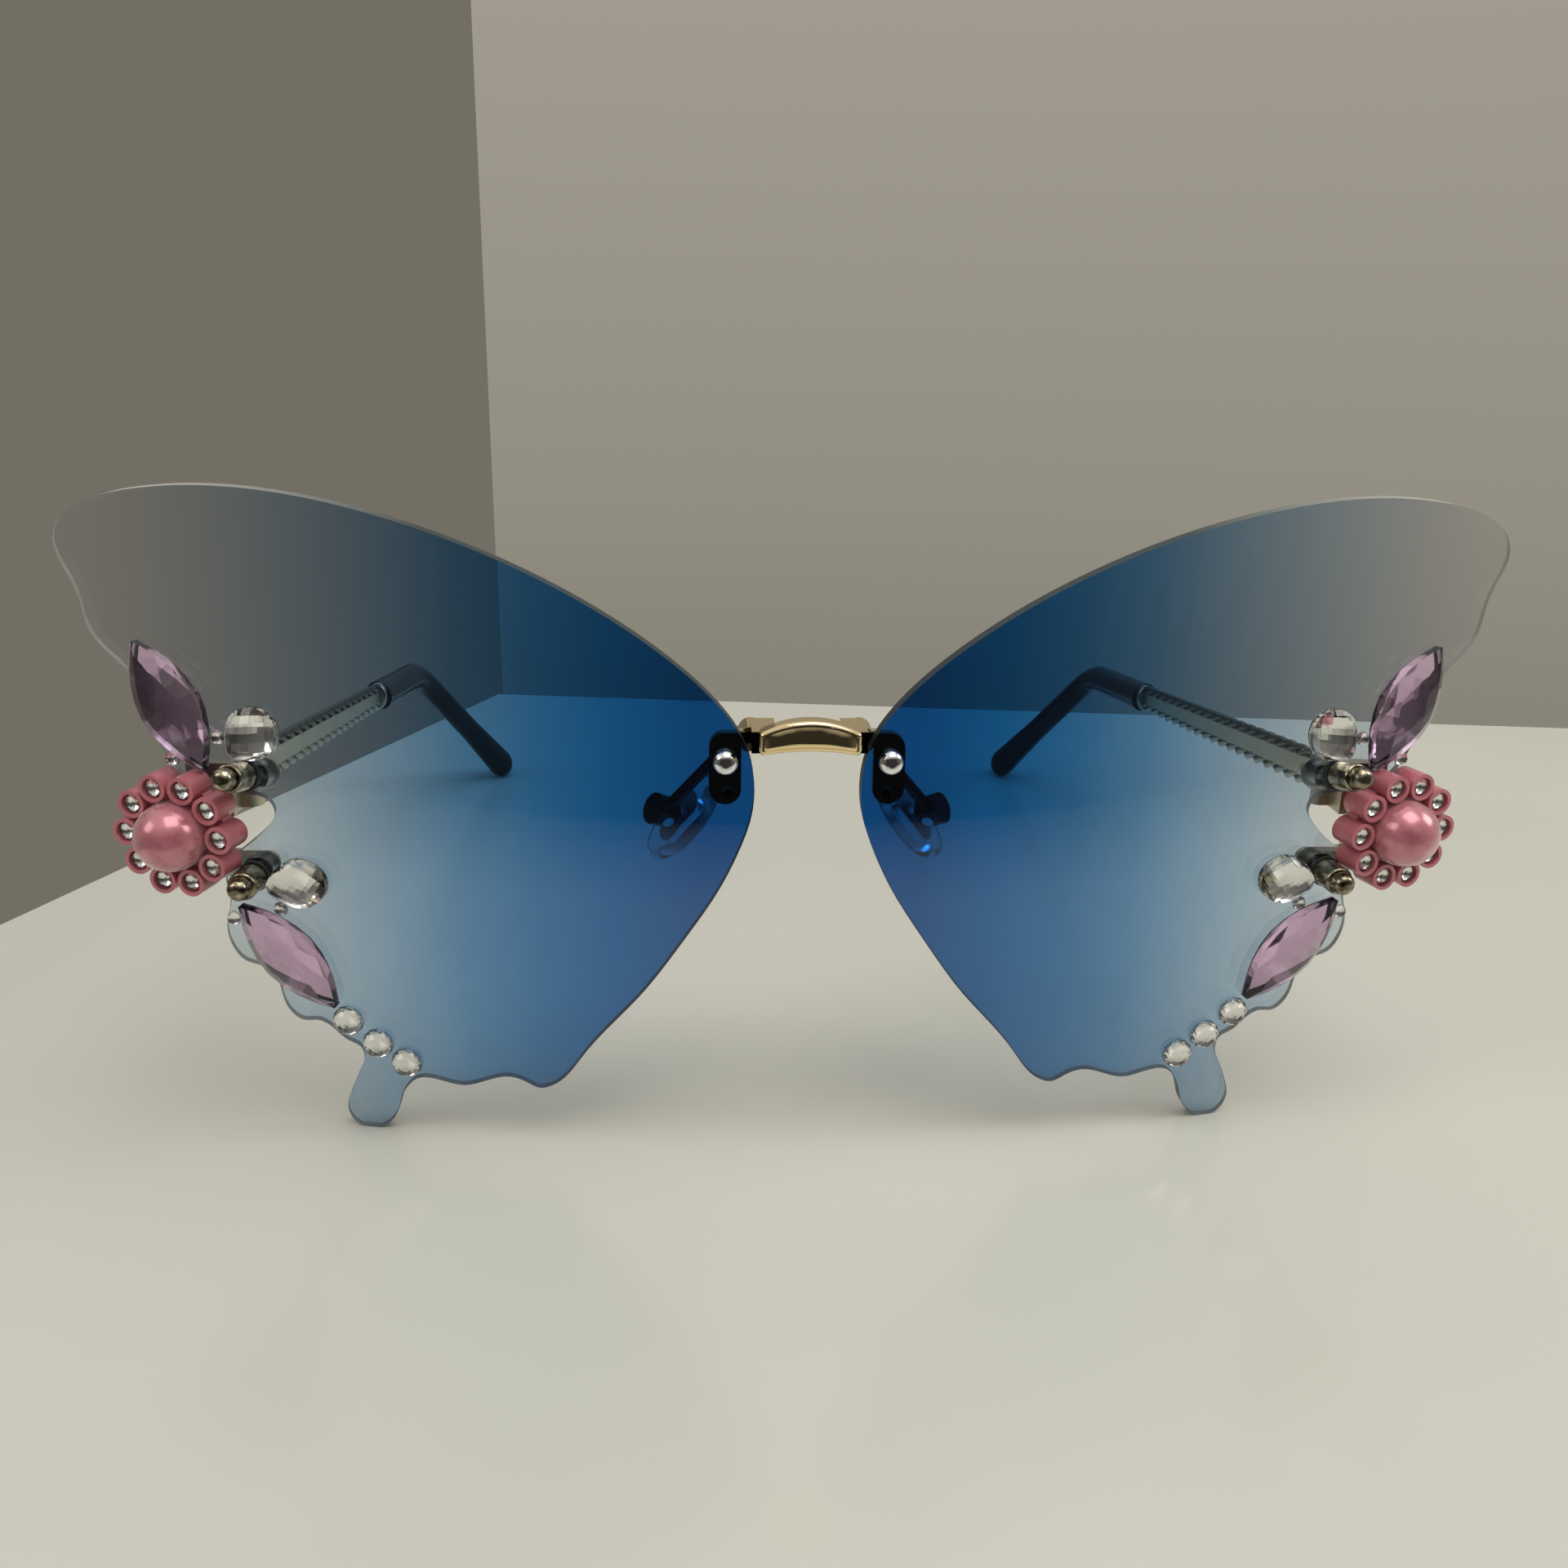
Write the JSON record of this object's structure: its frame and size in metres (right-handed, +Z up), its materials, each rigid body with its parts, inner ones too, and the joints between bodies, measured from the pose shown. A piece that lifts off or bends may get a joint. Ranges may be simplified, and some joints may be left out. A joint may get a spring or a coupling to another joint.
{
  "type": "butterfly sunglasses",
  "caption": "Rimless sunglasses with wide butterfly-wing lenses, jewelled sides, folding temples and rocking nose pads.",
  "frame": {"origin": "centre of the bounding box at the bottom, on the surface the sunglasses rest on", "axes": "+X to the wearer's left, +Y from the lenses back along the temples, +Z up"},
  "size_m": [0.156, 0.1434, 0.0719],
  "materials": {
    "lens_tint": "polished, tint fades outwards",
    "gold": "polished gold plate",
    "chrome_screw": "polished",
    "steel": "satin",
    "clear_plastic": "clear",
    "clear_silicone": "clear, soft",
    "dark_washer": "matte",
    "tip_plastic": "gloss",
    "petal_enamel": "satin rose pink",
    "pearl": "pink pearl lustre",
    "clear_stone": "cut and polished",
    "purple_stone": "cut and polished"
  },
  "bodies": {
    "front": {"lens_left": "lens_tint", "lens_right": "lens_tint", "bridge": "gold", "bridge_screw_left": "chrome_screw", "bridge_screw_right": "chrome_screw", "bridge_bush_left": "clear_plastic", "bridge_bush_right": "clear_plastic", "bridge_nut_left": "gold", "bridge_nut_right": "gold", "nose_pad_arm_left": "gold", "nose_pad_arm_right": "gold", "pad_box_left": "gold", "pad_box_right": "gold", "pad_screw_left": "chrome_screw", "pad_screw_right": "chrome_screw", "end_piece_left": "gold", "end_piece_right": "gold", "end_cap_nuts_left": "gold", "end_cap_nuts_right": "gold", "end_washers_left": "dark_washer", "end_washers_right": "dark_washer", "end_bushes_left": "clear_plastic", "end_bushes_right": "clear_plastic", "hinge_screw_left": "chrome_screw", "hinge_screw_right": "chrome_screw", "flower_left": "petal_enamel", "flower_right": "petal_enamel", "pearl_left": "pearl", "pearl_right": "pearl", "flower_stones_left": "clear_stone", "flower_stones_right": "clear_stone", "marquise_upper_left": "purple_stone", "marquise_upper_right": "purple_stone", "marquise_lower_left": "purple_stone", "marquise_lower_right": "purple_stone", "teardrop_upper_left": "clear_stone", "teardrop_upper_right": "clear_stone", "teardrop_lower_left": "clear_stone", "teardrop_lower_right": "clear_stone", "round_stones_left": "clear_stone", "round_stones_right": "clear_stone", "seed_stones_left": "clear_stone", "seed_stones_right": "clear_stone"},
    "temple_left": {"hinge_leaf_left": "gold", "temple_bar_left": "gold", "rope_upper_left": "gold", "rope_lower_left": "gold", "ferrule_left": "gold", "temple_tip_left": "tip_plastic"},
    "pad_left": {"pad_insert_left": "steel", "nose_pad_left": "clear_silicone"},
    "temple_right": {"hinge_leaf_right": "gold", "temple_bar_right": "gold", "rope_upper_right": "gold", "rope_lower_right": "gold", "ferrule_right": "gold", "temple_tip_right": "tip_plastic"},
    "pad_right": {"pad_insert_right": "steel", "nose_pad_right": "clear_silicone"}
  },
  "joints": [
    {"name": "temple_fold_left", "type": "hinge", "parent": "front", "child": "temple_left", "pos_m": [0.06091, -0.05305, 0.03889], "axis": [0, 0, 1], "range_deg": [0, 83]},
    {"name": "temple_fold_right", "type": "hinge", "parent": "front", "child": "temple_right", "pos_m": [-0.06091, -0.05305, 0.03889], "axis": [0, 0, -1], "range_deg": [0, 76]},
    {"name": "pad_rock_left", "type": "hinge", "parent": "front", "child": "pad_left", "pos_m": [0.01502, -0.05501, 0.03602], "axis": [-0.3113, -0.8415, -0.4416], "range_deg": [-10, 10]},
    {"name": "pad_rock_right", "type": "hinge", "parent": "front", "child": "pad_right", "pos_m": [-0.01502, -0.05501, 0.03602], "axis": [0.3113, -0.8415, -0.4416], "range_deg": [-10, 10]}
  ]
}
